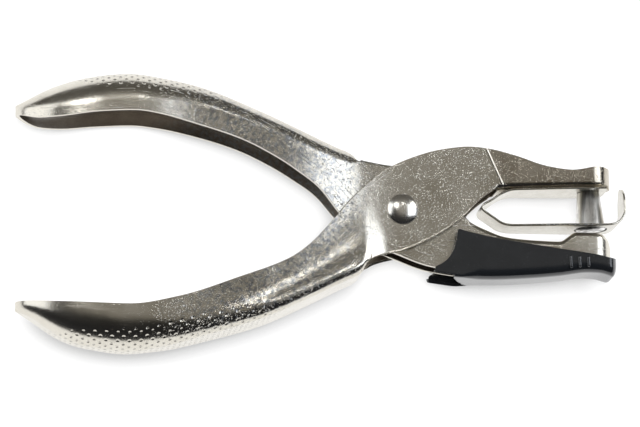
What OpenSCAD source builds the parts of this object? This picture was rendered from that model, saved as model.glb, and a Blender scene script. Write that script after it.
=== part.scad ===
// Plier-type one-hole paper punch, lying on its side.
// The pivot is the centre of the design: X runs towards the jaws, Y across the
// handles and Z along the rivet. The last lines move it onto its resting side.

/* [Handles] */
// Distance from the pivot to the ends of the handles
handle_reach = 82; // [76:1:90]
// Distance between the tips of the open handles
handle_spread = 40.6; // [36:0.2:46]
// Width of the handles across the palm
palm_width = 15.6; // [14:0.2:18]
// Depth of the handle channels at the palm
palm_depth = 9.2; // [8:0.2:11]
// Radius of the handles' rounded backs at the palm
palm_corner = 7; // [5:0.1:7.2]
// Radius of the rolled corners where the handles meet the pivot
neck_corner = 2; // [1.6:0.1:3]
// Length over which a handle tip rounds off, seen from above
tip_rounding = 20; // [14:1:24]

/* [Sheet metal] */
// Thickness of the sheet of both levers
sheet = 0.9; // [0.7:0.05:1]
// Outside width of the inner lever at the pivot
neck_width = 6.2; // [6:0.1:7]
// Side play between the cheeks of the two levers
cheek_play = 0.1; // [0.05:0.01:0.15]

/* [Jaws] */
// Distance from the pivot to the nose of the lower jaw
jaw_reach = 45.2; // [42:0.1:50]
// How far the upper jaw's nose stands ahead of the lower jaw's
nose_lead = 0.2; // [0:0.05:0.4]
// Margin between the die hole and the inside of the jaw's walls
die_margin = 0.1; // [0.06:0.01:0.3]
// Outside width of the punch jaw at its nose
punch_jaw_width = 9.4; // [9:0.1:10]
// Outside radius of the folds along the jaws
jaw_corner = 1.3; // [1.2:0.05:1.6]
// Height of the underside of the punch jaw above the pivot, at its nose
punch_jaw_height = 5.5; // [5:0.1:6]
// Height of the punch jaw's side walls at the nose
punch_jaw_depth = 4.5; // [3.5:0.1:6]

/* [Punch] */
// Diameter of the hole that the punch cuts
hole_d = 6.35; // [5:0.05:6.6]
// Radial gap between the pin's cutting edge and the die hole
die_gap = 0.14; // [0.12:0.01:0.16]
// Distance of the pin's middle behind the lower jaw's nose
pin_setback = 4.1; // [3.8:0.1:4.6]
// Distance of the open pin's cutting face below the pivot
pin_tip_drop = 3.15; // [3:0.05:3.2]
// Length of the pin's parallel cutting edge
cutting_edge = 0.8; // [0.5:0.1:1.2]
// Diameter of the pin's narrow end under the jaw
pin_root_d = 4.8; // [4.4:0.1:5]
// Diameter of the pin's shank through the jaw
pin_shank_d = 3.6; // [3:0.1:4]
// Diameter of the pin's peened head inside the jaw
pin_head_d = 5.2; // [4.6:0.1:6]
// Thickness of the pin's peened head
pin_head_h = 0.8; // [0.6:0.1:1.2]
// Distance of the die's face below the pivot
die_face_drop = 4.4; // [4.3:0.05:4.6]

/* [Stripper] */
// Thickness of the stripper's spring strip
strip = 0.45; // [0.3:0.05:0.5]
// Width of the stripper at its rear bend
stripper_rear_width = 7.6; // [7:0.1:8]
// Width of the stripper's strip beside its hole
stripper_rim = 1.2; // [0.8:0.1:1.6]
// Radial gap between the pin and its hole in the stripper
stripper_gap = 0.35; // [0.3:0.05:0.5]
// Distance from the pivot to the back of the stripper's rear bend
bend_reach = 16.9; // [16.5:0.1:18]
// How far the stripper's curled tongue stands ahead of the lower jaw
tongue_lead = 3.1; // [2.8:0.1:4.5]
// Height of the top of the tongue above the pivot
tongue_height = 5.8; // [4:0.1:6.2]
// Width of the tongue where it turns up
tongue_width = 7.4; // [6:0.1:8]

/* [Pivot rivet] */
// Diameter of the rivet's shank
rivet_d = 4; // [3.6:0.1:4.4]
// Running gap round the rivet's shank
rivet_play = 0.05; // [0.03:0.01:0.1]
// Diameter of the rivet's domed head
rivet_head_d = 6.6; // [6:0.1:8]
// Height of the rivet's domed head
rivet_head_h = 1.3; // [0.9:0.1:2]
// Diameter of the rivet's clinched end
clinch_d = 5.8; // [5.2:0.1:7]
// Height of the rivet's clinched end
clinch_h = 0.8; // [0.5:0.1:1.2]
// Outside diameter of the bush between the inner cheeks
bush_d = 5.8; // [5.4:0.1:5.9]
// End gap of the bush between the inner cheeks
bush_end_gap = 0.05; // [0.02:0.01:0.1]

/* [Opening spring] */
// Wire diameter of the spring that opens the handles
wire_d = 1; // [0.8:0.05:1]
// Gap between the spring's coil and the bush
coil_gap = 0.15; // [0.1:0.05:0.3]
// Number of turns of the coil
coil_turns = 3; // [2:1:3]
// How far back the spring's legs reach along the handles
leg_reach = 18; // [15:0.5:22]

/* [Chip receiver] */
// Wall thickness of the moulded chip receiver
receiver_wall = 0.9; // [0.7:0.05:1.1]
// Gap between the receiver and the sides of the jaw
receiver_gap = 0.1; // [0.06:0.01:0.15]
// How far the receiver's front stands ahead of the lower jaw
receiver_lead = 1.1; // [1.1:0.1:2]
// Distance of the receiver's floor below the pivot
receiver_floor_drop = 14.9; // [14.6:0.1:16]
// Radius of the receiver's lower edges
receiver_corner = 2.4; // [1.5:0.1:3]

/* [Hidden] */

$fn = 48;
nickel = [0.78, 0.77, 0.74];
spring_steel = [0.62, 0.62, 0.60];
polished_steel = [0.86, 0.86, 0.84];
black_plastic = [0.13, 0.14, 0.15];
through = 40;
jaw_cut = 5;
whisker = 0.01;

die_nose_reach = jaw_reach;
punch_nose_reach = jaw_reach + nose_lead;
pin_reach = jaw_reach - pin_setback;
tongue_reach = jaw_reach + tongue_lead;
receiver_front = jaw_reach + receiver_lead;
jaw_root = 17;
jaw_length = 28.2;
function jaw_x(x) = jaw_root + (x - jaw_root) * (jaw_reach - jaw_root) / jaw_length;

tip_y = handle_spread / 2;
palm_y = tip_y + 0.6;
palm_half = palm_width / 2;
die_neck_half = neck_width / 2;
punch_neck_half = die_neck_half + cheek_play + sheet;
punch_jaw_half = punch_jaw_width / 2;
rivet_r = rivet_d / 2;
bore_r = rivet_r + rivet_play;
pin_r = hole_d / 2;
die_r = pin_r + die_gap;
die_jaw_half = die_r + die_margin + sheet;

// Where the webs of the two channels stop at the window round the pivot
punch_web_end = -9.1;
punch_jaw_start = 20.5;
die_web_end = -11;
die_jaw_start = 14.5;

// The pin swings round the pivot. It is square to the die halfway through the
// sheet, and centred in the die hole as its face leaves the sheet.
pin_swing = norm([pin_reach, pin_tip_drop]);
pin_lean = asin((die_face_drop + sheet / 2) / pin_swing) - asin(pin_tip_drop / pin_swing);
die_x = sqrt(pow(pin_swing, 2) - pow(die_face_drop + sheet, 2));
punch_jaw_slope = 0.024;
die_land_start = die_x - die_r - 0.4;

// Smooth curve through design points, without overshoot
function chord(p, i) = (p[i + 1][1] - p[i][1]) / (p[i + 1][0] - p[i][0]);
function blended(a, b) = a * b <= 0 ? 0 : 2 * a * b / (a + b);
function slope(p, i) =
    i == 0 ? chord(p, 0) :
    i == len(p) - 1 ? chord(p, i - 1) :
    blended(chord(p, i - 1), chord(p, i));
function piece_at(p, x, i = 0) = i >= len(p) - 2 || x < p[i + 1][0] ? i : piece_at(p, x, i + 1);
function hermite(a, b, da, db, s) =
    a * (1 + 2 * s) * pow(1 - s, 2) + b * s * s * (3 - 2 * s)
    + da * s * pow(1 - s, 2) - db * s * s * (1 - s);
function curve(p, x) =
    let (i = piece_at(p, x), w = p[i + 1][0] - p[i][0], s = (x - p[i][0]) / w)
    hermite(p[i][1], p[i + 1][1], w * slope(p, i), w * slope(p, i + 1), s);

// Free edge of the punch lever: under the upper handle, over the pivot, along the jaw's top
punch_free = [
    [-handle_reach, -tip_y], [-0.89 * handle_reach, -palm_y - 0.2],
    [-0.71 * handle_reach, -palm_y - 0.8], [-0.585 * handle_reach, -0.98 * tip_y],
    [-0.43 * handle_reach, -0.765 * tip_y], [-0.3 * handle_reach, -0.555 * tip_y],
    [-20.2, -8.1], [-15.9, -3.6], [-9.2, 3.9], [-2.6, 9.2], [3.9, 12], [8.2, 13.2], [14.7, 14],
    [18.2, 13.7], [jaw_x(24.7), 12.1], [jaw_x(31.2), 9.9],
    [jaw_x(37), punch_jaw_height + 0.8 * punch_jaw_depth],
    [punch_nose_reach - 2.7, punch_jaw_height + punch_jaw_depth],
    [punch_nose_reach, punch_jaw_height + 0.95 * punch_jaw_depth]];
// Web of the punch lever's handle, lower edge of its cheeks, and web of its jaw
punch_line = [
    [-handle_reach, -tip_y - 1.9], [-0.96 * handle_reach, -tip_y - 3.6],
    [-0.907 * handle_reach, -palm_y - 0.66 * palm_depth], [-0.855 * handle_reach, -palm_y - 0.89 * palm_depth],
    [-0.8 * handle_reach, -palm_y - palm_depth], [-0.72 * handle_reach, -palm_y - palm_depth - 0.8],
    [-0.62 * handle_reach, -palm_y - palm_depth + 0.2], [-0.52 * handle_reach, -tip_y - 7.5],
    [-0.363 * handle_reach, -tip_y - 3.6], [-21.2, -20.1], [-12.5, -15.8], [punch_web_end, -14.1],
    [-8.3, -12.7], [-7.5, -11.8], [-6.3, -10.8], [-4.4, -10.1], [0, -9], [3.6, -7.5],
    [7.9, -5.2], [12.2, -2.2], [16.6, 2.1], [18.8, 3.8], [punch_jaw_start, punch_jaw_y(punch_jaw_start) - 0.25],
    [23.5, punch_jaw_y(23.5)], [pin_reach, punch_jaw_y(pin_reach)],
    [punch_nose_reach, punch_jaw_y(punch_nose_reach)]];
// Half of the punch lever's outside width at its free edge
punch_half = [
    [-handle_reach, palm_half], [-0.66 * handle_reach, palm_half],
    [-0.6 * handle_reach, 0.98 * palm_half], [-0.37 * handle_reach, 0.88 * palm_half],
    [-18, punch_neck_half + 2], [-11, punch_neck_half + 1.3], [-6.4, punch_neck_half + 0.5],
    [-0.56 * rivet_head_d, punch_neck_half], [jaw_root + 1, punch_neck_half],
    [pin_reach, punch_jaw_half], [punch_nose_reach + 1, punch_jaw_half]];

// Web of the die lever's handle, upper edge of its cheeks, and web of its jaw
die_line = [
    [-handle_reach, tip_y + 1.9], [-0.965 * handle_reach, tip_y + 3.3],
    [-0.933 * handle_reach, tip_y + 4.8], [-0.863 * handle_reach, palm_y + 0.7 * palm_depth],
    [-0.81 * handle_reach, palm_y + 0.81 * palm_depth], [-0.733 * handle_reach, palm_y + 0.9 * palm_depth],
    [-0.7 * handle_reach, palm_y + 0.91 * palm_depth], [-0.61 * handle_reach, palm_y + 0.8 * palm_depth],
    [-0.525 * handle_reach, tip_y + 6.4], [-0.37 * handle_reach, tip_y + 1.3], [-21.7, 17.7],
    [-13.2, 13.9], [die_web_end, 13],
    [-9.9, 11.7], [-9, 10.9], [-6.7, 10.4], [-2.4, 9.7], [1.5, 9.5], [5.5, 8], [9, 4.7], [12, 0.6],
    [die_jaw_start, -2], [18.9, -4.2], [21.5, -5.2], [24.2, -5.7], [jaw_x(29.6), -6.2],
    [die_land_start - 3.2, -die_face_drop - 2], [die_land_start - 1.6, -die_face_drop - 1],
    [die_land_start, -die_face_drop], [die_x + 1, -die_face_drop],
    [die_nose_reach - 1.1, -die_face_drop - 0.9], [die_nose_reach - 0.4, -die_face_drop - 1.8],
    [die_nose_reach, -die_face_drop - 2.8]];
// Free edge of the die lever: under the handle, below the pivot, inside the receiver
die_free = [
    [-handle_reach, tip_y - 0.3], [-0.94 * handle_reach, tip_y - 1.7],
    [-0.89 * handle_reach, tip_y - 1.6], [-0.79 * handle_reach, tip_y - 0.7],
    [-0.69 * handle_reach, tip_y - 0.3], [-0.63 * handle_reach, tip_y - 0.9],
    [-0.53 * handle_reach, 0.857 * tip_y], [-0.42 * handle_reach, 0.714 * tip_y],
    [-26.3, 10.4], [-22, 7.6], [-17.7, 4.4], [-13.9, -0.4], [-9, -5.7], [-5, -8.2],
    [-1.7, -9.4], [3.6, -11.5], [6.6, -12.3], [13.6, 1.7 - receiver_floor_drop],
    [20, 1.7 - receiver_floor_drop], [jaw_x(30), 2.2 - receiver_floor_drop],
    [jaw_x(40), 3.1 - receiver_floor_drop],
    [die_nose_reach, 3.4 - receiver_floor_drop]];
// Half of the die lever's outside width at its free edge
die_half = [
    [-handle_reach, palm_half], [-0.69 * handle_reach, palm_half],
    [-0.64 * handle_reach, 0.95 * palm_half], [-0.53 * handle_reach, 0.8 * palm_half],
    [-0.37 * handle_reach, 0.74 * palm_half], [-22, die_neck_half + 2.1],
    [-16, die_neck_half + 1.3], [-11, die_neck_half + 0.4], [-7.5, die_neck_half],
    [jaw_root, die_neck_half], [die_land_start, die_jaw_half], [die_nose_reach + 1, die_jaw_half]];

// Underside of the punch jaw's web
function punch_jaw_y(x) = punch_jaw_height - punch_jaw_slope * (punch_nose_reach - x);

// Corner radius along each handle: nearly a half round at the palm, tight at the pivot
punch_corner = [[-handle_reach, palm_corner], [-0.72 * handle_reach, palm_corner],
    [-0.52 * handle_reach, 0.55 * palm_corner], [-0.33 * handle_reach, neck_corner + 0.3],
    [punch_web_end, neck_corner]];
die_corner = [[-handle_reach, palm_corner], [-0.7 * handle_reach, palm_corner],
    [-0.54 * handle_reach, 0.78 * palm_corner], [-0.33 * handle_reach, 0.6 * palm_corner],
    [-18, 0.58 * palm_corner], [die_web_end, 0.5 * palm_corner]];

// How much wider the punch lever's half is at the web than at the free edge
punch_bulge = [[-handle_reach, 0], [-0.6 * handle_reach, 0], [-0.37 * handle_reach, 0.07 * palm_half],
    [-18, 1], [punch_web_end, 1.3], [-6.4, 0.5], [-0.56 * rivet_head_d, 0], [punch_nose_reach + 1, 0]];
die_bulge = [[-handle_reach, 0], [die_nose_reach + 1, 0]];

// Share of the full width left where a lever rounds off at its tip and its nose
function round_off(x, start, length) =
    x >= start + length ? 1 : sqrt(max(0, 1 - pow((start + length - x) / length, 2)));

// A lever is a sheet laid over cross-sections at stations along X. Each
// cross-section runs from the near free edge down one side, round the corner,
// across the web and up the other side. The web is missing from the window
// round the pivot, whose ends cut across the corners.
side_steps = 3;
corner_steps = 4;
half_count = side_steps + 1 + corner_steps;
ring_count = 2 * half_count + 1;
rear_cut = 2.4;
front_cut = 1;

function half_section(x, edge, web, half, bulge, corner, turn) =
    let (d = edge > web ? 1 : -1,
         bent = turn > 1,
         radius = bent ? corner * turn / 90 : 0,
         wall = abs(web - edge) - radius,
         straight = bent ? wall : 0.7 * wall)
    concat(
        [for (k = [0:side_steps])
            let (share = straight / wall * k / side_steps)
            [x, edge - d * wall * share, half + bulge * pow(share, 3)]],
        [for (k = [1:corner_steps])
            let (a = turn * k / corner_steps, share = 0.7 + 0.3 * k / corner_steps)
            bent
                ? [x, web + d * radius * (1 - sin(a)), half + bulge - radius * (1 - cos(a))]
                : [x, edge - d * wall * share, half + bulge * pow(share, 3)]]);
function section(x, edge, web, half, bulge, corner, turn) =
    let (near = half_section(x, edge, web, half, bulge, corner, turn))
    concat(near, [[x, web, 0]],
        [for (k = [half_count - 1:-1:0]) [near[k][0], near[k][1], -near[k][2]]]);

tip_steps = 6;
handle_steps = 15;
rear_cut_steps = 3;
window_steps = 12;
front_cut_steps = 2;
jaw_steps = 15;
nose_steps = 6;
web_end_station = tip_steps + handle_steps;
jaw_start_station = web_end_station + rear_cut_steps + window_steps + front_cut_steps;
function between(a, b, first, last, steps) = [for (k = [first:last]) a + (b - a) * k / steps];
function stations(tail, nose, nose_rounding, web_end, jaw_start) = concat(
    [for (k = [0:tip_steps - 1]) tail + tip_rounding * (1 - cos(90 * k / tip_steps))],
    between(tail + tip_rounding, web_end, 0, handle_steps, handle_steps),
    between(web_end, web_end + rear_cut, 1, rear_cut_steps, rear_cut_steps),
    between(web_end + rear_cut, jaw_start - front_cut, 1, window_steps, window_steps),
    between(jaw_start - front_cut, jaw_start, 1, front_cut_steps, front_cut_steps),
    between(jaw_start, nose - nose_rounding, 1, jaw_steps, jaw_steps),
    [for (k = [nose_steps - 1:-1:0]) nose - nose_rounding * (1 - cos(90 * k / nose_steps))]);

// Angle that a corner turns through: all of it under a web, less where a window's end cuts it
function corner_turn(x, web_end, jaw_start) =
    x <= web_end + whisker || x >= jaw_start - whisker ? 90 :
    90 * max(0, 1 - (x - web_end) / rear_cut + whisker, 1 - (jaw_start - x) / front_cut + whisker)
        * (x > web_end + rear_cut - whisker && x < jaw_start - front_cut + whisker ? 0 : 1);

function lever_rings(xs, free, line, halves, bulges, corner, nose, nose_rounding, web_end, jaw_start) = [
    for (x = xs)
        let (
            edge = curve(free, x),
            web = curve(line, x),
            rounded = round_off(x, xs[0], tip_rounding) * round_off(-x, -nose, nose_rounding),
            half = curve(halves, x) * rounded,
            bulge = curve(bulges, x) * rounded,
            full = x > 0 ? jaw_corner : curve(corner, min(x, web_end)),
            radius = min(full, 0.94 * (half + bulge), 0.8 * abs(edge - web)))
        section(x, edge, web, half, bulge, radius, corner_turn(x, web_end, jaw_start))];

function unit(v) = v / max(norm(v), 0.000001);
function is_end(rings, i) = i == 0 || i == len(rings) - 1;
function is_open(i) = i > web_end_station && i < jaw_start_station;
function is_middle(j) = j == half_count;
function back_row(i, j) = i == 0 || (i == jaw_start_station && is_middle(j)) ? i : i - 1;
function next_row(rings, i, j) =
    i == len(rings) - 1 || (i == web_end_station && is_middle(j)) ? i : i + 1;
function back_column(i, j) = j == 0 || (is_open(i) && j == half_count + 1) ? j : j - 1;
function next_column(i, j) =
    j == ring_count - 1 || (is_open(i) && j == half_count - 1) ? j : j + 1;
function inward(rings, i, j, d) =
    let (along = rings[next_row(rings, i, j)][j] - rings[back_row(i, j)][j],
         across = rings[i][next_column(i, j)] - rings[i][back_column(i, j)])
    d * unit(cross(along, across));
function end_inside(rings, i, j, d) =
    let (p = rings[i][j], web = rings[i][half_count][1], step = i == 0 ? sheet : -sheet)
    [p[0] + step, d > 0 ? max(p[1], web + sheet) : min(p[1], web - sheet), 0];
function inside_point(rings, i, j, d) =
    is_end(rings, i) ? end_inside(rings, i, j, d) : rings[i][j] + sheet * inward(rings, i, j, d);

// At the two ends the sides meet, so their points are shared
function shared(rings, i, j) =
    is_end(rings, i) ? min(j, ring_count - 1 - j, side_steps) : j;
function sound(face) = face[0] != face[1] && face[1] != face[2] && face[0] != face[2];
function web_quad(j) = j == half_count - 1 || j == half_count;
function has_quad(rings, i, j) =
    i >= 0 && i < len(rings) - 1 && j >= 0 && j < ring_count - 1
    && (!web_quad(j) || i < web_end_station || i >= jaw_start_station);
function quad(a, b, c, d) = [[a, b, c], [a, c, d]];

module lever_sheet(rings) {
    d = rings[10][0][1] > rings[10][half_count][1] ? 1 : -1;
    count = len(rings) * ring_count;
    outer = [for (i = [0:len(rings) - 1]) for (j = [0:ring_count - 1])
        is_end(rings, i) ? [rings[i][j][0], rings[i][j][1], 0] : rings[i][j]];
    inner = [for (i = [0:len(rings) - 1]) for (j = [0:ring_count - 1])
        inside_point(rings, i, j, d)];
    function o(i, j) = i * ring_count + shared(rings, i, j);
    function n(i, j) = count + o(i, j);
    raw = [for (i = [0:len(rings) - 2]) for (j = [0:ring_count - 2]) if (has_quad(rings, i, j))
        each concat(
            quad(o(i, j), o(i + 1, j), o(i + 1, j + 1), o(i, j + 1)),
            quad(n(i, j + 1), n(i + 1, j + 1), n(i + 1, j), n(i, j)),
            has_quad(rings, i, j - 1) ? [] : quad(o(i, j), n(i, j), n(i + 1, j), o(i + 1, j)),
            has_quad(rings, i, j + 1) ? [] :
                quad(o(i + 1, j + 1), n(i + 1, j + 1), n(i, j + 1), o(i, j + 1)),
            i == 0 || has_quad(rings, i - 1, j) ? [] :
                quad(o(i, j + 1), n(i, j + 1), n(i, j), o(i, j)),
            i == len(rings) - 2 || has_quad(rings, i + 1, j) ? [] :
                quad(o(i + 1, j), n(i + 1, j), n(i + 1, j + 1), o(i + 1, j + 1)))];
    faces = [for (f = raw) if (sound(f)) d > 0 ? f : [f[2], f[1], f[0]]];
    polyhedron(points = concat(outer, inner), faces = faces, convexity = 8);
}

// A round hole along the rivet, through everything
module rivet_bore() {
    translate([0, 0, -through / 2]) cylinder(h = through, r = bore_r);
}

// Lower jaw and upper handle: the inner lever, which carries the die
die_nose_rounding = 3.6;
die_stations = stations(-handle_reach, die_nose_reach, die_nose_rounding, die_web_end, die_jaw_start);
die_rings = lever_rings(die_stations, die_free, die_line, die_half, die_bulge, die_corner,
    die_nose_reach, die_nose_rounding, die_web_end, die_jaw_start);
module die_lever() {
    color(nickel) difference() {
        lever_sheet(die_rings);
        rivet_bore();
        translate([die_x, -die_face_drop + 0.4 * jaw_cut, 0]) rotate([90, 0, 0])
            cylinder(h = jaw_cut, r = die_r);
    }
}

// Upper jaw and lower handle: the outer lever, which carries the pin
punch_nose_rounding = 4.2;
punch_stations = stations(-handle_reach, punch_nose_reach, punch_nose_rounding, punch_web_end,
    punch_jaw_start);
punch_rings = lever_rings(punch_stations, punch_free, punch_line, punch_half, punch_bulge, punch_corner,
    punch_nose_reach, punch_nose_rounding, punch_web_end, punch_jaw_start);
module punch_lever() {
    color(nickel) difference() {
        lever_sheet(punch_rings);
        rivet_bore();
        pin_axis() cylinder(h = through, r = pin_shank_d / 2 + rivet_play);
    }
}

// Domed head on the near side, clinched end on the far side
module pivot_rivet() {
    cap_r = (pow(rivet_head_d / 2, 2) + pow(rivet_head_h, 2)) / (2 * rivet_head_h);
    color(nickel) union() {
        translate([0, 0, -punch_neck_half - clinch_h / 2])
            cylinder(h = 2 * punch_neck_half + clinch_h, r = rivet_r);
        intersection() {
            translate([0, 0, punch_neck_half + rivet_head_h - cap_r]) sphere(r = cap_r);
            translate([0, 0, punch_neck_half]) cylinder(h = rivet_head_h + 1, r = rivet_head_d / 2);
        }
        difference() {
            translate([0, 0, -punch_neck_half - clinch_h]) cylinder(h = clinch_h, r = clinch_d / 2);
            translate([0, 0, -punch_neck_half - clinch_h - whisker])
                cylinder(h = clinch_h / 2, r = rivet_r * 0.7);
        }
    }
}

// Bush on the rivet between the inner cheeks, inside the coil
module pivot_bush() {
    length = neck_width - 2 * sheet - 2 * bush_end_gap;
    color(spring_steel) difference() {
        translate([0, 0, -length / 2]) cylinder(h = length, r = bush_d / 2);
        rivet_bore();
    }
}

// Round wire along a path that never runs along Z
module wire(path, r, sides) {
    last = len(path) - 1;
    points = [for (i = [0:last])
        let (t = unit(path[min(i + 1, last)] - path[max(i - 1, 0)]),
             a = unit(cross(t, [0, 0, 1])),
             b = cross(a, t))
        for (k = [0:sides - 1]) path[i] + r * (cos(360 * k / sides) * a + sin(360 * k / sides) * b)];
    faces = concat(
        [[for (k = [0:sides - 1]) k]],
        [for (i = [0:last - 1]) for (k = [0:sides - 1])
            let (m = (k + 1) % sides)
            each quad(i * sides + k, (i + 1) * sides + k, (i + 1) * sides + m, i * sides + m)],
        [[for (k = [sides - 1:-1:0]) last * sides + k]]);
    polyhedron(points = points, faces = faces, convexity = 6);
}

// Torsion spring round the bush, one leg against the inside of each handle's web
coil_r = bush_d / 2 + coil_gap + wire_d / 2;
coil_pitch = (neck_width - 2 * sheet - 2 * bush_end_gap - wire_d) / coil_turns;
function leg_end(line, side) =
    [-leg_reach, curve(line, -leg_reach) - side * (sheet * 1.12 + wire_d * 0.56 + 0.05)];
function tangent_angle(p, side) = atan2(p[1], p[0]) - side * acos(coil_r / norm(p));
upper_leg = leg_end(die_line, 1);
lower_leg = leg_end(punch_line, -1);
spring_start = tangent_angle(upper_leg, 1);
spring_end = tangent_angle(lower_leg, -1) - 360 * coil_turns;
function coil_point(s) =
    let (a = spring_start + (spring_end - spring_start) * s)
    [coil_r * cos(a), coil_r * sin(a), coil_pitch * coil_turns * (0.5 - s)];
coil_steps = 16 * coil_turns;
module opening_spring() {
    top = coil_point(0);
    bottom = coil_point(1);
    path = concat(
        [[upper_leg[0], upper_leg[1], top[2]]],
        [for (k = [0:coil_steps]) coil_point(k / coil_steps)],
        [[lower_leg[0], lower_leg[1], bottom[2]]]);
    color(spring_steel) wire(path, wire_d / 2, 8);
}

// The pin's axis runs up from the middle of its cutting face
module pin_axis() {
    translate([pin_reach, -pin_tip_drop, 0]) rotate([-90, 0, 0]) rotate([0, -pin_lean, 0]) children();
}

seat_gap = 0.06;
shoulder = (punch_jaw_y(pin_reach) - strip + pin_tip_drop) / cos(pin_lean) - seat_gap;
head_seat = shoulder + (strip + sheet) / cos(pin_lean) + 2 * seat_gap;
module punch_pin() {
    color(polished_steel) pin_axis() rotate_extrude() polygon([
        [0, 0], [pin_r, 0], [pin_r, cutting_edge], [pin_root_d / 2, shoulder],
        [pin_shank_d / 2, shoulder], [pin_shank_d / 2, head_seat], [pin_head_d / 2, head_seat],
        [pin_head_d / 2, head_seat + 0.5 * pin_head_h],
        [pin_head_d / 2 - 0.5 * pin_head_h, head_seat + pin_head_h], [0, head_seat + pin_head_h]]);
}

// Middle line of the stripper's strip: fixed leg under the jaw, rear bend,
// blade with the pin's hole, and the tongue that curls up past the nose. The
// blade swings at the end of the bend, where the real strip flexes.
hinge_gap = 0.12;
leg_front = punch_nose_reach - 1;
function leg_y(x) = punch_jaw_y(x) - strip / 2 - whisker;
blade_y = -pin_tip_drop + strip / 2;
stripper_front_half = pin_r + stripper_gap + stripper_rim;
hips = pin_reach - pin_r - 2;
bend_r = 0.95;
bend_centre = [bend_reach + bend_r + strip / 2, 0.75];
function ahead(x) = bend_centre[0] + x;
curl_r = 3.7;
curl_centre = [tongue_reach - strip / 2 - curl_r, blade_y + 0.15 + curl_r];
bend_end = 230;
bend_exit = bend_centre + bend_r * [cos(bend_end), sin(bend_end)];
slant_foot = [ahead(2.5), -2.2];
stripper_spring_path = concat(
    [[leg_front, leg_y(leg_front)], [ahead(5.9), leg_y(ahead(5.9))],
     [ahead(4.5), leg_y(ahead(5.9)) - 0.15], [ahead(2.5), 3.6]],
    [for (a = [130:20:bend_end]) bend_centre + bend_r * [cos(a), sin(a)]]);
stripper_blade_path = concat(
    [bend_exit + hinge_gap * unit(slant_foot - bend_exit), slant_foot, [ahead(3.6), blade_y - 0.05],
     [ahead(4.9), blade_y - 0.15], [hips, blade_y]],
    [for (a = [-90:15:0]) curl_centre + curl_r * [cos(a), sin(a)]],
    [[tongue_reach - strip / 2 - 0.1, tongue_height - 1],
     [tongue_reach - strip / 2 - 0.3, tongue_height]]);

// Outline of a strip of even thickness along a middle line
function side_of(p, i) =
    let (last = len(p) - 1,
         a = unit(p[i] - p[max(i - 1, 0)]),
         b = unit(p[min(i + 1, last)] - p[i]),
         t = i == 0 ? b : i == last ? a : unit(a + b))
    [-t[1], t[0]];
function band(p, w) = concat(
    [for (i = [0:len(p) - 1]) p[i] + w / 2 * side_of(p, i)],
    [for (i = [len(p) - 1:-1:0]) p[i] - w / 2 * side_of(p, i)]);

// A flat outline in X and Z, standing through the part along Y
module plan(points) {
    rotate([90, 0, 0]) linear_extrude(height = through, center = true) polygon(points);
}

module stripper_plan() {
    rear = stripper_rear_width / 2;
    front = stripper_front_half;
    waist = ahead(4);
    plan([[0, -rear], [waist, -rear], [hips, -front], [tongue_reach + 1, -front],
          [tongue_reach + 1, front], [hips, front], [waist, rear], [0, rear]]);
}

// An outline in Z and Y, as seen from the front, standing along X
module end_view(points) {
    rotate([0, 90, 0]) linear_extrude(height = 3 * through, center = true) polygon(points);
}

// Outline of the tongue from the front, with its rounded end
module tongue_view() {
    half = tongue_width / 2;
    turn = curl_centre[1] - curl_r - 1;
    straight = tongue_height - half;
    end_view(concat(
        [[stripper_front_half, turn], [half, straight]],
        [for (a = [0:15:180]) [half * cos(a), straight + half * sin(a)]],
        [[-half, straight], [-stripper_front_half, turn]]));
}

module strip_along(path) {
    intersection() {
        linear_extrude(height = through, center = true) polygon(band(path, strip));
        stripper_plan();
    }
}

// Upper leg of the stripper, held under the jaw by the pin's shoulder, and its rear bend
module stripper_spring() {
    color(spring_steel) difference() {
        strip_along(stripper_spring_path);
        pin_axis() translate([0, 0, shoulder - 2 * strip])
            cylinder(h = jaw_cut, r = pin_shank_d / 2 + rivet_play);
    }
}

// Blade that pushes the paper off the pin, with the curled tongue
module stripper_blade() {
    color(spring_steel) difference() {
        intersection() {
            strip_along(stripper_blade_path);
            union() {
                translate([0, -through / 2, -through / 2]) cube([tongue_reach - 3, through, through]);
                tongue_view();
            }
        }
        pin_axis() translate([0, 0, -1]) cylinder(h = strip + 3, r = pin_r + stripper_gap);
    }
}

// Side outline of the chip receiver: top edge, front, finger lip, floor and rear arc
receiver_floor = -receiver_floor_drop;
receiver_rear_r = 13.6;
floor_start = 10.5;
floor_bow = 3.5;
receiver_half = die_jaw_half + receiver_gap + receiver_wall;
receiver_floor_line = [
    [12, receiver_floor + 0.1], [18.5, receiver_floor], [jaw_x(27), receiver_floor + 0.4],
    [jaw_x(33.5), receiver_floor + 1], [jaw_x(39.9), receiver_floor + 1.8],
    [receiver_front - 4.1, receiver_floor + 1.7], [receiver_front - 2.1, receiver_floor + 1.2],
    [receiver_front - 1.1, receiver_floor + 0.9]];
receiver_top_line = [
    [receiver_front, -10], [receiver_front - 1.5, -10.2], [receiver_front - 4.2, -9.6],
    [jaw_x(33.5), -8.3], [20.6, -6.3], [11.6, -4.3]];
module receiver_outline() {
    polygon(concat(
        receiver_top_line,
        [for (a = [-20:-5:-62]) receiver_rear_r * [cos(a), sin(a)] + [0.3 * sin(3 * (a + 20)), 0]],
        [[7, -13.9]], receiver_floor_line, [[receiver_front - 0.3, -12]]));
}

// Rounded nose in plan
module receiver_plan(half, front, radius) {
    plan(concat([[0, -half]],
        [for (a = [-90:15:0]) [front - radius + radius * cos(a), -half + radius + radius * sin(a)]],
        [for (a = [0:15:90]) [front - radius + radius * cos(a), half - radius + radius * sin(a)]],
        [[0, half]]));
}

// Rounded lower edges, seen from the front
module receiver_end_view(half, floor_y, radius) {
    end_view(concat(
        [[half, 5]],
        [for (a = [0:15:90]) [half - radius + radius * cos(a), floor_y + radius - radius * sin(a)]],
        [for (a = [90:15:180]) [radius - half + radius * cos(a), floor_y + radius - radius * sin(a)]],
        [[-half, 5]]));
}

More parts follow.
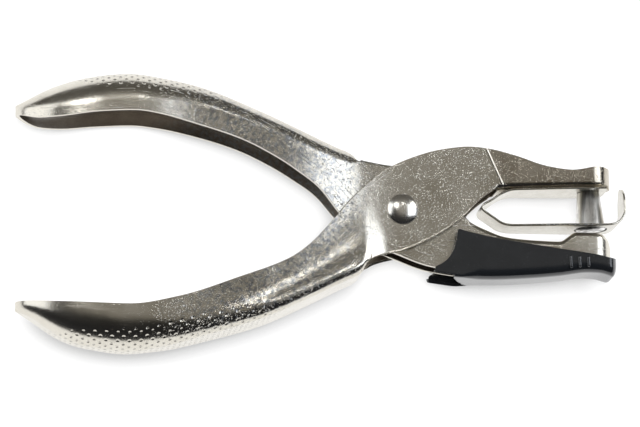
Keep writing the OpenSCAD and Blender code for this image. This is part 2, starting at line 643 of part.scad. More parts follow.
receiver_nose = 2.2;
module chip_receiver() {
    color(black_plastic) difference() {
        intersection() {
            linear_extrude(height = 2 * receiver_half, center = true) receiver_outline();
            receiver_plan(receiver_half, receiver_front, receiver_nose);
            receiver_end_view(receiver_half, receiver_floor, receiver_corner);
        }
        receiver_hollow();
        receiver_rear_opening();
    }
}

// Space for the jaw and the chips, open above
module receiver_hollow() {
    half = receiver_half - receiver_wall;
    front = receiver_front - receiver_wall;
    intersection() {
        linear_extrude(height = 2 * half, center = true) polygon(concat(
            [[front, 6], [front, receiver_floor_line[7][1] + 1.3]],
            [for (i = [len(receiver_floor_line) - 1:-1:0])
                receiver_floor_line[i] + [-0.9 * i / 7, receiver_wall]],
            [[0, receiver_floor + receiver_wall], [0, 6]]));
        receiver_plan(half, front, receiver_nose - receiver_wall);
        receiver_end_view(half, receiver_floor + receiver_wall, receiver_corner - receiver_wall);
    }
}

// Rear end of the floor, cut away between the sides on a curve
module receiver_rear_opening() {
    half = receiver_half - receiver_wall;
    intersection() {
        plan(concat([[0, -half]],
            [for (a = [-90:15:90]) [floor_start + floor_bow * cos(a), half * sin(a)]],
            [[0, half]]));
        end_view([[-half, 5], [half, 5], [half, -through], [-half, -through]]);
    }
}

// Places the part on its resting side, centred over its outline
low_y = min([for (p = punch_line) p[1]]);
high_y = max([for (p = die_line) p[1]]);
module placed() {
    translate([(handle_reach - tongue_reach) / 2, -(low_y + high_y) / 2, palm_half]) children();
}

placed() die_lever();
placed() punch_lever();
placed() pivot_rivet();
placed() pivot_bush();
placed() opening_spring();
placed() punch_pin();
placed() stripper_spring();
placed() stripper_blade();
placed() chip_receiver();
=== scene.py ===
import math

import bmesh
import bpy
import numpy as np
from mathutils import Matrix, Vector

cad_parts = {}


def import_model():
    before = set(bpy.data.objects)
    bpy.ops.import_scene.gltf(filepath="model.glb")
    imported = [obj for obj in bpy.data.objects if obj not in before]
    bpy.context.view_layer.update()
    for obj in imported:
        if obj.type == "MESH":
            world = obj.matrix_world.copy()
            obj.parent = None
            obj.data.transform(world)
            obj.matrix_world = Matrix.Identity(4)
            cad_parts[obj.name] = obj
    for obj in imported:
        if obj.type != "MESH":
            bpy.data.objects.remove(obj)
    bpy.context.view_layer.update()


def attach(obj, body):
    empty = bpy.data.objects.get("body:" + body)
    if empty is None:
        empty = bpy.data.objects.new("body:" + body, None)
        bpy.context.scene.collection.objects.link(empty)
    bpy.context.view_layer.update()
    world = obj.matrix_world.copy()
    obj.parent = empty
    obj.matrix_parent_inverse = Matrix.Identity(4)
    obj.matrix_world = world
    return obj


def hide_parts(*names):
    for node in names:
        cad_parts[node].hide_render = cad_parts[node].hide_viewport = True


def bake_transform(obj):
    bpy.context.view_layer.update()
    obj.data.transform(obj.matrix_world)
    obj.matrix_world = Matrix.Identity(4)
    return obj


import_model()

PIVOT = np.array([16.85, 0.814, 7.8])
MM = 0.001


def world(p):
    """A point of the punch in metres, in the frame of the CAD."""
    return (np.asarray(p, float) + PIVOT) * MM


# ---------------------------------------------------------------- sizes
REACH = 82.0                    # from the pivot back to the ends of the palms
SPREAD = 40.6                   # between the two palms' ends
PALM_W, PALM_D = 15.6, 9.2      # width and depth of a palm
SHEET = 0.9                     # thickness of the levers
PLAY = 0.1                      # between sheets that lie inside each other
R = REACH
TIP_Y = SPREAD / 2
PALM_Y = TIP_Y + 0.6
PALM = PALM_W / 2               # this and the next three are half widths
DIE_NECK = 3.1
PUNCH_NECK = DIE_NECK + PLAY + SHEET
PUNCH_JAW = 4.7
DIE_NOSE, PUNCH_NOSE = 45.2, 45.4
DIE_FACE = -4.4
PIN_X, PIN_Y = 41.1, -3.15      # middle of the pin's cutting end
PIN_R, DIE_R = 3.175, 3.315
DIE_JAW = DIE_R + PLAY + SHEET
SWING = math.hypot(PIN_X, PIN_Y)
# The pin leans so that it stands square to the die when it goes through it
LEAN = math.degrees(math.asin((SHEET / 2 - DIE_FACE) / SWING) - math.asin(-PIN_Y / SWING))
DIE_X = math.sqrt(SWING ** 2 - (DIE_FACE - SHEET) ** 2)
DIE_LAND = DIE_X - DIE_R - 0.4  # where the raised land round the die hole begins
STRIP = 0.45                    # thickness of the stripper
TONGUE_X, TONGUE_Y = 48.3, 5.8
FLOOR_Y = -14.9                 # underside of the receiver
REC_WALL = 0.9
REC_HALF = DIE_JAW + PLAY + REC_WALL
REC_FRONT = 46.3


def jaw_y(x):
    """The underside of the upper jaw's web."""
    return 5.5 - 0.024 * (PUNCH_NOSE - x)


# Each lever by the lines of its free edge, its web and its half width along X, and the
# outer radius of its corners. The punch lever's necks are a little slimmer at the free
# edge and fuller at the web than in part.scad, for their reflections.
PUNCH_FREE = [
    (-R, -TIP_Y), (-0.89 * R, -PALM_Y - 0.2), (-0.71 * R, -PALM_Y - 0.8),
    (-0.585 * R, -0.98 * TIP_Y), (-0.43 * R, -0.765 * TIP_Y), (-0.3 * R, -0.555 * TIP_Y),
    (-20.2, -8.1), (-15.9, -3.6), (-9.2, 3.9), (-2.6, 9.2), (3.9, 12), (8.2, 13.2), (14.7, 14),
    (18.2, 13.7), (24.7, 12.1), (31.2, 9.9), (37, 9.1), (42.7, 10), (PUNCH_NOSE, 9.78)]
PUNCH_LINE = [
    (-R, -TIP_Y - 1.9), (-0.96 * R, -TIP_Y - 3.6), (-0.907 * R, -PALM_Y - 0.66 * PALM_D),
    (-0.855 * R, -PALM_Y - 0.89 * PALM_D), (-0.8 * R, -PALM_Y - PALM_D),
    (-0.72 * R, -PALM_Y - PALM_D - 0.8), (-0.62 * R, -PALM_Y - PALM_D + 0.2),
    (-0.52 * R, -TIP_Y - 7.5), (-0.363 * R, -TIP_Y - 3.6), (-21.2, -20.1), (-12.5, -15.8),
    (-9.1, -14.1), (-8.3, -12.7), (-7.5, -11.8), (-6.3, -10.8), (-4.4, -10.1), (0, -9),
    (3.6, -7.5), (7.9, -5.2), (12.2, -2.2), (16.6, 2.1), (18.8, 3.8),
    (20.5, jaw_y(20.5) - 0.25), (23.5, jaw_y(23.5)), (40, jaw_y(40)),
    (PUNCH_NOSE, jaw_y(PUNCH_NOSE))]
PUNCH_HALF = [
    (-R, PALM), (-0.66 * R, PALM), (-0.6 * R, 0.98 * PALM), (-0.37 * R, 0.86 * PALM),
    (-18, PUNCH_NECK + 1.65), (-11, PUNCH_NECK + 0.75), (-6.4, PUNCH_NECK + 0.2),
    (-3.7, PUNCH_NECK), (18, PUNCH_NECK), (PIN_X, PUNCH_JAW), (46.4, PUNCH_JAW)]
PUNCH_CORNER = [(-R, 7), (-0.72 * R, 7), (-0.52 * R, 3.85), (-0.33 * R, 2.3), (-9.1, 2)]
DIE_CORNER = [
    (-R, 7), (-0.7 * R, 7), (-0.54 * R, 5.46), (-0.33 * R, 4.2), (-18, 4.06), (-11, 3.5)]
# How much wider each half is at the web than at the free edge
PUNCH_BULGE = [
    (-R, 0), (-0.6 * R, 0), (-0.37 * R, 0.6), (-18, 1.2), (-9.1, 1.8), (-6.4, 0.6), (-3.7, 0),
    (46, 0)]
DIE_BULGE = [(-R, 0), (46, 0)]
DIE_LINE = [
    (-R, TIP_Y + 1.9), (-0.965 * R, TIP_Y + 3.3), (-0.933 * R, TIP_Y + 4.8),
    (-0.863 * R, PALM_Y + 0.7 * PALM_D), (-0.81 * R, PALM_Y + 0.81 * PALM_D),
    (-0.733 * R, PALM_Y + 0.9 * PALM_D), (-0.7 * R, PALM_Y + 0.91 * PALM_D),
    (-0.61 * R, PALM_Y + 0.8 * PALM_D), (-0.525 * R, TIP_Y + 6.4), (-0.37 * R, TIP_Y + 1.3),
    (-21.7, 17.7), (-13.2, 13.9), (-11, 13), (-9.9, 11.7), (-9, 10.9), (-6.7, 10.4),
    (-2.4, 9.7), (1.5, 9.5), (5.5, 8), (9, 4.7), (12, 0.6), (14.5, -2), (18.9, -4.2),
    (21.5, -5.2), (24.2, -5.7), (29.6, -6.2), (DIE_LAND - 3.2, DIE_FACE - 2),
    (DIE_LAND - 1.6, DIE_FACE - 1), (DIE_LAND, DIE_FACE), (DIE_X + 1, DIE_FACE),
    (DIE_NOSE - 1.1, DIE_FACE - 0.9), (DIE_NOSE - 0.4, DIE_FACE - 1.8),
    (DIE_NOSE, DIE_FACE - 2.8)]
DIE_FREE = [
    (-R, TIP_Y - 0.3), (-0.94 * R, TIP_Y - 1.7), (-0.89 * R, TIP_Y - 1.6),
    (-0.79 * R, TIP_Y - 0.7), (-0.69 * R, TIP_Y - 0.3), (-0.63 * R, TIP_Y - 0.9),
    (-0.53 * R, 0.857 * TIP_Y), (-0.42 * R, 0.714 * TIP_Y), (-26.3, 10.4), (-22, 7.6),
    (-17.7, 4.4), (-13.9, -0.4), (-9, -5.7), (-5, -8.2), (-1.7, -9.4), (3.6, -11.5),
    (6.6, -12.3), (13.6, -13.2), (20, FLOOR_Y + 1.7), (30, FLOOR_Y + 2.2), (40, FLOOR_Y + 3.1),
    (DIE_NOSE, FLOOR_Y + 3.4)]
DIE_HALF = [
    (-R, PALM), (-0.69 * R, PALM), (-0.64 * R, 0.95 * PALM), (-0.53 * R, 0.8 * PALM),
    (-0.37 * R, 0.74 * PALM), (-22, DIE_NECK + 2.1), (-16, DIE_NECK + 1.3),
    (-11, DIE_NECK + 0.4), (-7.5, DIE_NECK), (17, DIE_NECK), (DIE_LAND, DIE_JAW),
    (46.2, DIE_JAW)]


# ---------------------------------------------------------------- curves
def curve(points, x):
    """Hermite curve through the points, without overshoot."""
    px = np.array([p[0] for p in points], float)
    py = np.array([p[1] for p in points], float)
    chord = np.diff(py) / np.diff(px)
    inner = np.where(chord[:-1] * chord[1:] > 0,
                     2 * chord[:-1] * chord[1:] / (chord[:-1] + chord[1:] + 1e-12), 0)
    m = np.concatenate([[chord[0]], inner, [chord[-1]]])
    x = np.atleast_1d(np.asarray(x, float))
    i = np.clip(np.searchsorted(px, x, side="right") - 1, 0, len(px) - 2)
    w = px[i + 1] - px[i]
    s = (x - px[i]) / w
    return (py[i] * (1 + 2 * s) * (1 - s) ** 2 + py[i + 1] * s * s * (3 - 2 * s)
            + w * m[i] * s * (1 - s) ** 2 - w * m[i + 1] * s * s * (1 - s))


def eased(points, x, reach):
    """The curve averaged over a short reach, which rounds its kinks and keeps its ends."""
    x = np.asarray(x, float)
    lo, hi = points[0][0], points[-1][0]
    total = np.zeros_like(x)
    weight = 0
    for k in np.linspace(-2, 2, 9):
        g = math.exp(-k * k)
        r = np.minimum(reach, np.minimum(x - lo, hi - x) / 2)
        total += g * curve(points, np.clip(x + k * r, lo, hi))
        weight += g
    return total / weight


def round_off(x, start, length):
    """A quarter of an ellipse, from 0 at start to 1 at start + length."""
    d = np.clip((start + length - x) / length, 0, 1)
    return np.sqrt(np.maximum(0, 1 - d ** 2))


def spread_tip(a, length, n):
    """Stations from a on, closest together where a rounded end is steepest."""
    return a + length * (1 - np.cos(np.linspace(0, math.pi / 2, n + 1)))


# ---------------------------------------------------------------- meshes
WELD = 1e-7     # metres
NEAR = 1e-6     # millimetres


def mesh_object(name, verts, faces, uvs=None, sharp=None, mats=(), which=None):
    """A new object at the origin. Smooth where sharp, an angle in degrees, is given."""
    me = bpy.data.meshes.new(name)
    me.from_pydata([tuple(v) for v in verts], [], faces)
    me.update()
    for mat in mats:
        me.materials.append(mat)
    if which is not None:
        me.polygons.foreach_set("material_index", which)
    if uvs is not None:
        layer = me.uv_layers.new(name="along")
        loops = np.zeros(len(me.loops), int)
        me.loops.foreach_get("vertex_index", loops)
        layer.data.foreach_set("uv", np.asarray(uvs, float)[loops].ravel())
    ob = bpy.data.objects.new(name, me)
    bpy.context.scene.collection.objects.link(ob)
    tidy(ob)
    if sharp:
        smooth(me, sharp)
    return ob


def smooth(me, sharp):
    """Smooth shading, but for the edges sharper than an angle in degrees."""
    for p in me.polygons:
        p.use_smooth = True
    me.set_sharp_from_angle(angle=math.radians(sharp))


def tidy(ob):
    """Welds doubled points, drops faces without area and turns the rest outward."""
    bm = bmesh.new()
    bm.from_mesh(ob.data)
    bmesh.ops.remove_doubles(bm, verts=bm.verts, dist=WELD)
    bmesh.ops.dissolve_degenerate(bm, edges=bm.edges, dist=WELD)
    bmesh.ops.recalc_face_normals(bm, faces=bm.faces)
    bm.to_mesh(ob.data)
    bm.free()


def cut(ob, *cutters, sharp=40):
    """Takes the cutters out of ob for good."""
    for c in cutters:
        m = ob.modifiers.new("cut", "BOOLEAN")
        m.operation = "DIFFERENCE"
        m.solver = "EXACT"
        m.object = c
    bpy.context.view_layer.update()
    done = ob.evaluated_get(bpy.context.evaluated_depsgraph_get())
    done = bpy.data.meshes.new_from_object(done)
    ob.modifiers.clear()
    ob.data = done
    smooth(done, sharp)
    for c in cutters:
        bpy.data.objects.remove(c, do_unlink=True)


def sheet_object(name, grid, present, thick, uv, closed_ends, mats, rim=0.09, rim_steps=5):
    """A sheet of even thickness behind a grid of outer points, with rounded edges.

    grid is [rows, columns, xyz], present says which quads exist, closed_ends says whether
    the two sides meet at the first and the last row, and rim is how far the round of an
    edge stands out."""
    rows, cols = grid.shape[:2]
    along = np.gradient(grid, axis=0)
    across = np.gradient(grid, axis=1)
    normal = np.cross(along, across)
    normal /= np.maximum(np.linalg.norm(normal, axis=2, keepdims=True), 1e-9)
    if normal[rows // 3, 1, 2] > 0:
        normal = -normal
    inner = grid + thick * normal
    for closed, end, step in zip(closed_ends, (0, rows - 1), (thick, -thick)):
        if closed:
            mid = cols // 2
            sign = 1 if grid[end, 0, 1] > grid[end, mid, 1] else -1
            inner[end, :, 0] = grid[end, :, 0] + step
            inner[end, :, 1] = (np.maximum if sign > 0 else np.minimum)(
                grid[end, :, 1], grid[end, mid, 1] + sign * thick)
            inner[end, :, 2] = 0
            grid[end, :, 2] = 0

    def vid(i, j):
        if (i == 0 and closed_ends[0]) or (i == rows - 1 and closed_ends[1]):
            j = min(j, cols - 1 - j)
        return i * cols + j

    count = rows * cols
    points = np.concatenate([grid.reshape(-1, 3), inner.reshape(-1, 3)])
    outward = -normal.reshape(-1, 3)
    k = rows // 3
    first = np.cross(grid[k + 1, 0] - grid[k, 0], grid[k + 1, 1] - grid[k, 0])
    flip = np.dot(first, outward[k * cols]) < 0
    faces, edges = [], {}       # edges is a dict, because its order is kept
    for i in range(rows - 1):
        for j in range(cols - 1):
            if not present[i][j]:
                continue
            f = [vid(i, j), vid(i + 1, j), vid(i + 1, j + 1), vid(i, j + 1)]
            if flip:
                f.reverse()
            f = [a for k, a in enumerate(f) if a != f[k - 1]]
            if len(f) < 3:
                continue
            faces.append(f)
            for k, a in enumerate(f):
                edges[(a, f[(k + 1) % len(f)])] = True
    border = [e for e in edges if (e[1], e[0]) not in edges]
    direction = {}
    for a, b in border:
        e = np.cross(points[b] - points[a], outward[a] + outward[b])
        e /= max(np.linalg.norm(e), 1e-9)
        for v in (a, b):
            direction[v] = direction.get(v, 0) + e
    verts = list(points)
    uvs = list(uv.reshape(-1, 2)) * 2
    rims = {}
    for v, e in direction.items():
        e = e / max(np.linalg.norm(e), 1e-9)
        outer, back = points[v].copy(), points[v + count].copy()
        mid, span = (outer + back) / 2, (outer - back) / 2
        ids = [v]
        verts[v] = outer - rim * e
        verts[v + count] = back - rim * e
        for s in range(1, rim_steps):
            a = math.pi * s / rim_steps
            ids.append(len(verts))
            verts.append(mid + span * math.cos(a) + e * rim * (math.sin(a) - 1))
            uvs.append(uvs[v])
        ids.append(v + count)
        rims[v] = ids
    solid = list(faces) + [[a + count for a in reversed(f)] for f in faces]
    which = [0] * len(faces) + [1] * len(faces)
    for a, b in border:
        ra, rb = rims[a], rims[b]
        for s in range(rim_steps):
            solid.append([rb[s], ra[s], ra[s + 1], rb[s + 1]])
            which.append(0)
    used = sorted({v for f in solid for v in f})
    index = {v: k for k, v in enumerate(used)}
    solid = [[index[v] for v in f] for f in solid]
    return mesh_object(name, [world(verts[v]) for v in used], solid,
                       [uvs[v] for v in used], sharp=50, mats=mats, which=which)


CHEEK_SHARE, CORNER_SHARE = 0.7, 0.3    # of a flat cheek's points, where no web follows


def channel(name, xs, free, line, half, bulge, radius, turn, window, closed, mats, thick=SHEET,
            sides=7, corners=16, webs=3, gap=None):
    """A channel of sheet laid over cross-sections at stations along X.

    At each station a cheek runs from the free edge to the web's line, and its corner turns
    by turn degrees towards the web. window leaves out the web, and gap(x, height over the
    line, z) more of it."""
    grid, uv, present = [], [], []
    total, last = 0, None
    for k, x in enumerate(xs):
        d = 1 if free[k] > line[k] else -1
        r, h, b, t = radius[k] * turn[k] / 90, half[k], bulge[k], turn[k]
        wall = abs(line[k] - free[k]) - r

        def cheek(share):
            return free[k] - d * wall * share, h + b * share ** 3

        near = [cheek(s) for s in np.linspace(0, 1 if t > 0 else CHEEK_SHARE, sides + 1)]
        for c in range(1, corners + 1):
            a = math.radians(t * c / corners)
            if t > 0:
                near.append((line[k] + d * r * (1 - math.sin(a)), h + b - r * (1 - math.cos(a))))
            else:
                near.append(cheek(CHEEK_SHARE + CORNER_SHARE * c / corners))
        y_end, z_end = near[-1]
        y_web = line[k] if t >= 90 else y_end
        near += [(y_web, z_end * (1 - s / webs)) for s in range(1, webs)]
        ring = near + [(y_web, 0)] + [(y, -z) for y, z in reversed(near)]
        pts = np.array([(x, y, z) for y, z in ring])
        middle = pts[len(pts) // 2]
        grid.append(pts)
        steps = np.linalg.norm(np.diff(pts, axis=0), axis=1)
        if last is not None:
            total += np.linalg.norm(middle - last)
        last = middle
        uv.append([(total, a) for a in np.concatenate([[0], np.cumsum(steps)])])
    grid = np.array(grid)
    cols = grid.shape[1]
    web = sides + corners
    for k in range(len(xs) - 1):
        row = [True] * (cols - 1)
        if window[k]:
            for j in range(web, cols - web - 1):
                row[j] = False
        if gap:
            for j in range(sides + 1, cols - sides - 2):
                if gap(xs[k], grid[k, j, 1] - line[k], grid[k, j, 2]):
                    row[j] = False
        present.append(row)
    return sheet_object(name, grid, present, thick, np.array(uv), closed, mats)


PALM_ROUND = 20                     # length over which the palm's end is rounded
REAR_CUT, FRONT_CUT = 2.4, 1.0      # length over which the web's corners unroll into the cheeks
JAW_CORNER = 1.3
EASE, EASE_JAW, EASE_WIDTH = 1.2, 0.35, 2.4     # how far the lines are averaged


def lever(name, free, line, half, bulge, corner, nose, nose_round, web_end, jaw_start, mats):
    """A lever's sheet: its web ends at web_end and starts again at jaw_start."""
    flat_from, flat_to = web_end + REAR_CUT, jaw_start - FRONT_CUT
    xs = np.concatenate([
        spread_tip(-R, PALM_ROUND, 18)[:-1],
        np.linspace(-R + PALM_ROUND, web_end, 70)[:-1],
        np.linspace(web_end, flat_from, 8)[:-1],
        np.linspace(flat_from, flat_to, 44)[:-1],
        np.linspace(flat_to, jaw_start, 6)[:-1],
        np.linspace(jaw_start, nose - nose_round, 48)[:-1],
        nose - spread_tip(0, nose_round, 12)[::-1]])
    f = eased(free, xs, EASE)
    w = eased(line, xs, np.where(xs < web_end - 3, EASE, EASE_JAW))
    rounded = round_off(xs, -R, PALM_ROUND) * round_off(-xs, -nose, nose_round)
    h = eased(half, xs, EASE_WIDTH) * rounded
    b = eased(bulge, xs, EASE) * rounded
    r = np.where(xs > 0, JAW_CORNER, curve(corner, np.minimum(xs, web_end)))
    r = np.minimum(r, np.minimum(0.94 * (h + b), 0.8 * np.abs(f - w)))
    turn = np.full(len(xs), 90.0)
    rear = (xs > web_end + NEAR) & (xs < flat_from - NEAR)
    front = (xs > flat_to + NEAR) & (xs < jaw_start - NEAR)
    flat = (xs >= flat_from - NEAR) & (xs <= flat_to + NEAR)
    turn[rear] = 90 * (1 - (xs[rear] - web_end) / REAR_CUT)
    turn[front] = 90 * (1 - (jaw_start - xs[front]) / FRONT_CUT)
    turn[flat] = 0
    window = (xs[:-1] >= web_end - NEAR) & (xs[:-1] < jaw_start - NEAR)
    return channel(name, xs, f, w, h, b, r, turn, window, (True, True), mats)


def turned(profile, point, axis, steps):
    """The points of a profile of (radius, height), turned round an axis through a point."""
    rot = Vector(axis).normalized().to_track_quat("Z", "Y").to_matrix()
    points = []
    for k in range(steps):
        t = 2 * math.pi * k / steps
        for r, z in profile:
            p = rot @ Vector((r * math.cos(t), r * math.sin(t), z))
            points.append(world(np.array(point) + np.array(p)))
    return points


def lathe(name, profile, point, axis, steps=64):
    """A turned piece, from a profile of (radius, height)."""
    faces, n = [], len(profile)
    for k in range(steps):
        for j in range(n - 1):
            a0, a1 = k * n + j, ((k + 1) % steps) * n + j
            faces.append([a0, a1, a1 + 1, a0 + 1])
    return mesh_object(name, turned(profile, point, axis, steps), faces, sharp=35)


def drum(point, axis, r, length, steps=72):
    """A plain cylinder to cut with, starting at a point."""
    points = turned([(r, 0), (r, length)], point, axis, steps)
    faces = []
    for k in range(steps):
        m = (k + 1) % steps
        faces.append([k, m, steps + m, steps + k])
    faces += [list(reversed(range(steps))), [steps + k for k in range(steps)]]
    return mesh_object("cutter", points[::2] + points[1::2], faces)


def tube(name, path, r, sides=16):
    """Round wire along a path, with rounded ends."""
    path = np.array(path, float)
    t = np.gradient(path, axis=0)
    t /= np.linalg.norm(t, axis=1, keepdims=True)
    a = np.cross(t, [0, 0, 1.0])
    a /= np.linalg.norm(a, axis=1, keepdims=True)
    b = np.cross(a, t)
    rings = [(path[k], r, k) for k in range(len(path))]
    for k, s in ((0, -1), (len(path) - 1, 1)):
        cap = [(path[k] + s * t[k] * r * math.sin(q) * 0.6, r * math.cos(q), k)
               for q in np.linspace(math.pi / 2 * 0.97, 0, 5)[:-1]]
        rings = cap + rings if s < 0 else rings + cap[::-1]
    verts, faces = [], []
    for c, rr, k in rings:
        for q in range(sides):
            w = 2 * math.pi * q / sides
            verts.append(world(c + rr * (math.cos(w) * a[k] + math.sin(w) * b[k])))
    for i in range(len(rings) - 1):
        for q in range(sides):
            m = (q + 1) % sides
            faces.append([i * sides + q, (i + 1) * sides + q, (i + 1) * sides + m, i * sides + m])
    faces.append(list(range(sides)))
    faces.append([(len(rings) - 1) * sides + q for q in reversed(range(sides))])
    return mesh_object(name, verts, faces, sharp=60)


# ---------------------------------------------------------------- materials
class Nodes:
    """The node tree of a material or a world, with short calls for the nodes used here."""

    def __init__(self, owner):
        owner.use_nodes = True
        self.owner, self.tree = owner, owner.node_tree
        self.surface = next(n for n in self.tree.nodes
                            if n.type in ("BSDF_PRINCIPLED", "BACKGROUND"))
        self.coords = self.node("TexCoord")

    def feed(self, socket, v):
        """Links a socket to another one, or sets a constant on it."""
        if isinstance(v, bpy.types.NodeSocket):
            self.tree.links.new(v, socket)
        else:
            socket.default_value = v

    def node(self, kind, inputs=None, **props):
        n = self.tree.nodes.new("ShaderNode" + kind)
        for k, v in props.items():
            setattr(n, k, v)
        for k, v in (inputs or {}).items():
            self.feed(n.inputs[k], v)
        return n

    def set(self, name, v):
        self.feed(self.surface.inputs[name], v)

    def at(self, scale=(1, 1, 1), turn=(0, 0, 0), space="Object"):
        return self.node("Mapping", {"Vector": self.coords.outputs[space], "Scale": scale,
                                     "Rotation": turn}).outputs[0]

    def split(self, v):
        return self.node("SeparateXYZ", {"Vector": v}).outputs

    def dot(self, a, b):
        return self.node("VectorMath", {0: a, 1: b}, operation="DOT_PRODUCT").outputs["Value"]

    def noise(self, vector, scale, detail=4, rough=0.5):
        return self.node("TexNoise", {"Vector": vector, "Scale": scale, "Detail": detail,
                                      "Roughness": rough}).outputs["Fac"]

    def ramp(self, v, lo, hi, a=0.0, b=1.0):
        return self.node("MapRange", {"Value": v, "From Min": lo, "From Max": hi,
                                      "To Min": a, "To Max": b}).outputs[0]

    def math(self, op, a, b=0.0):
        return self.node("Math", {0: a, 1: b}, operation=op).outputs[0]

    def add(self, a, b):
        return self.math("ADD", a, b)

    def sub(self, a, b):
        return self.math("SUBTRACT", a, b)

    def mul(self, a, b):
        return self.math("MULTIPLY", a, b)

    def div(self, a, b):
        return self.math("DIVIDE", a, b)

    def most(self, a, b):
        return self.math("MAXIMUM", a, b)

    def mix(self, f, a, b):
        """A mix of colours, which the node takes in its sockets 6 and 7."""
        return self.node("Mix", {"Factor": f, 6: a, 7: b}, data_type="RGBA").outputs[2]

    def bump(self, height, distance, strength=1.0, under=None):
        inputs = {"Height": height, "Distance": distance, "Strength": strength}
        if under is not None:
            inputs["Normal"] = under
        return self.node("Bump", inputs).outputs[0]


# Millimetres on the sheet's UV map, along the lever and round its section
GRIP_PITCH = (2.45, 0.98)
DIMPLE = (0.42, 0.12)               # outer and inner radius of a dimple of the grip
DRAWN_FROM, DRAWN_TO = (30, 46), (70, 84)
PALM_END = (22, 40)
# Painted shade inside the grip's dimples
DIMPLE_SHADE = (0.2, 0.19, 0.17, 1)
SPECKLE_LIGHT, SPECKLE_DARK = (0.46, 0.47, 0.48, 1), (0.36, 0.37, 0.38, 1)
# The crease across the punch lever's cheek, past which its jaw begins: its normal and a point
CREASE, CREASE_AT = (0.9197, 0.3927), (18.2, 13.7)
# Browner, darker tones of the jaw past the crease: painted shade for the jaw's tilt
PAST_CREASE_SHADE_LIGHT, PAST_CREASE_SHADE_DARK = (0.6, 0.555, 0.475, 1), (0.44, 0.395, 0.325, 1)


def dimples(m, u, v, middle, reach):
    """1 in the dimples of the grip, whose rows stand half a pitch apart, and 0 elsewhere."""
    pu, pv = GRIP_PITCH
    row = m.math("FLOOR", m.div(v, pv))
    shift = m.mul(m.math("FLOORED_MODULO", row, 2.0), 0.5)
    fu = m.sub(m.math("FRACT", m.add(m.div(u, pu), shift)), 0.5)
    fv = m.sub(m.math("FRACT", m.div(v, pv)), 0.5)
    du, dv = m.mul(fu, pu), m.mul(fv, pv)
    d = m.math("SQRT", m.add(m.mul(du, du), m.mul(dv, dv)))
    eu, ev = m.div(m.sub(u, middle[0]), reach[0]), m.div(m.sub(v, middle[1]), reach[1])
    away = m.add(m.mul(eu, eu), m.mul(ev, ev))
    return m.mul(m.ramp(d, *DIMPLE), m.ramp(away, 1.05, 0.85))


def plated(name, light, dark, rough, grip=None, sparkle=1.0, crease=False, scored=0.3, palm=1.0):
    """Nickel plate on pressed sheet: waves, sparkling grain, scratches and dull patches.

    grip is the middle and the reach of the dimples, scored the strength of the scratches,
    and palm the share of the sparkle that the end of the palm keeps."""
    m = Nodes(bpy.data.materials.new(name))
    m.set("Metallic", 1.0)
    obj = m.at()
    u, v = m.split(m.coords.outputs["UV"])[:2]
    drawn = m.mul(m.ramp(u, *DRAWN_FROM), m.ramp(u, *DRAWN_TO, 1, 0))
    patches = m.noise(obj, 90, 4, 0.55)
    mottle = m.noise(obj, 300, 4, 0.6)
    grain = m.noise(obj, 3300, 2, 0.5)
    along = m.noise(m.at((0.1, 3.0, 1), space="UV"), 1, 2)
    aslant = m.noise(m.at((1, 30, 30), (0, 0, 0.5)), 240, 2)
    scratches = m.most(m.ramp(along, 0.64, 0.72, 0, scored), m.ramp(aslant, 0.74, 0.82, 0, scored))
    dull = m.ramp(patches, 0.3, 0.7, rough + 0.05, rough - 0.05)
    m.set("Roughness", m.add(dull, m.mul(scratches, 0.1)))

    # Colour: worn patches, and grey speckle where the cheeks were drawn
    worn = m.add(m.ramp(patches, 0.38, 0.68, 0, 0.4), m.ramp(mottle, 0.38, 0.62, 0, 0.3))
    worn = m.add(worn, m.ramp(grain, 0.35, 0.65, 0.3, 0))
    facing = m.split(m.coords.outputs["Normal"])[2]
    cheek = m.ramp(m.math("ABSOLUTE", facing), 0.5, 0.85)
    speckle = m.mul(m.mul(drawn, m.ramp(m.noise(obj, 1100, 4, 0.7), 0.44, 0.6)), cheek)
    light, dark = m.mix(speckle, light, SPECKLE_LIGHT), m.mix(speckle, dark, SPECKLE_DARK)

    # Relief: waves, mottle, flecks and scratches
    n = m.bump(m.noise(obj, 170, 3, 0.5), 0.00011, 0.8)
    n = m.bump(m.mul(mottle, m.add(m.mul(drawn, 2.4), 1.0)), 0.000009, 1.0, n)
    spread = m.ramp(m.noise(obj, 420, 2), 0.38, 0.66, 0.25, 1.0)
    flecks = m.mul(m.ramp(grain, 0.6, 0.77), m.mul(spread, m.ramp(patches, 0.42, 0.6, 0.4, 1.0)))
    flecks = m.mul(flecks, m.ramp(u, *PALM_END, palm, 1.0))
    flecks = m.mul(flecks, m.add(m.mul(drawn, 4.0), 0.7))
    n = m.bump(flecks, 0.00005 * sparkle, 1.0, n)
    n = m.bump(scratches, 0.00002, 1.0, n)
    if crease:
        across = m.dot(m.coords.outputs["Object"], (CREASE[0] / MM, CREASE[1] / MM, 0))
        zero = CREASE[0] * (PIVOT[0] + CREASE_AT[0]) + CREASE[1] * (PIVOT[1] + CREASE_AT[1])
        off = m.sub(across, zero)
        n = m.bump(m.ramp(m.math("ABSOLUTE", off), 0.26, 0.0), 0.00006, 1.0, n)
        # Past the crease the colour turns browner and darker, which is painted shade for the jaw's
        # tilt
        past = m.ramp(off, -0.5, 1.5)
        light, dark = m.mix(past, light, PAST_CREASE_SHADE_LIGHT), m.mix(past, dark, PAST_CREASE_SHADE_DARK)
    colour = m.mix(worn, light, dark)
    if grip:
        spot = dimples(m, u, v, *grip)
        n = m.bump(m.sub(1.0, spot), 0.00013, 1.0, n)
        # The dimples are painted darker inside, as painted shade
        colour = m.mix(m.mul(spot, 0.35), colour, DIMPLE_SHADE)
    m.set("Base Color", colour)
    m.set("Normal", n)
    return m.owner


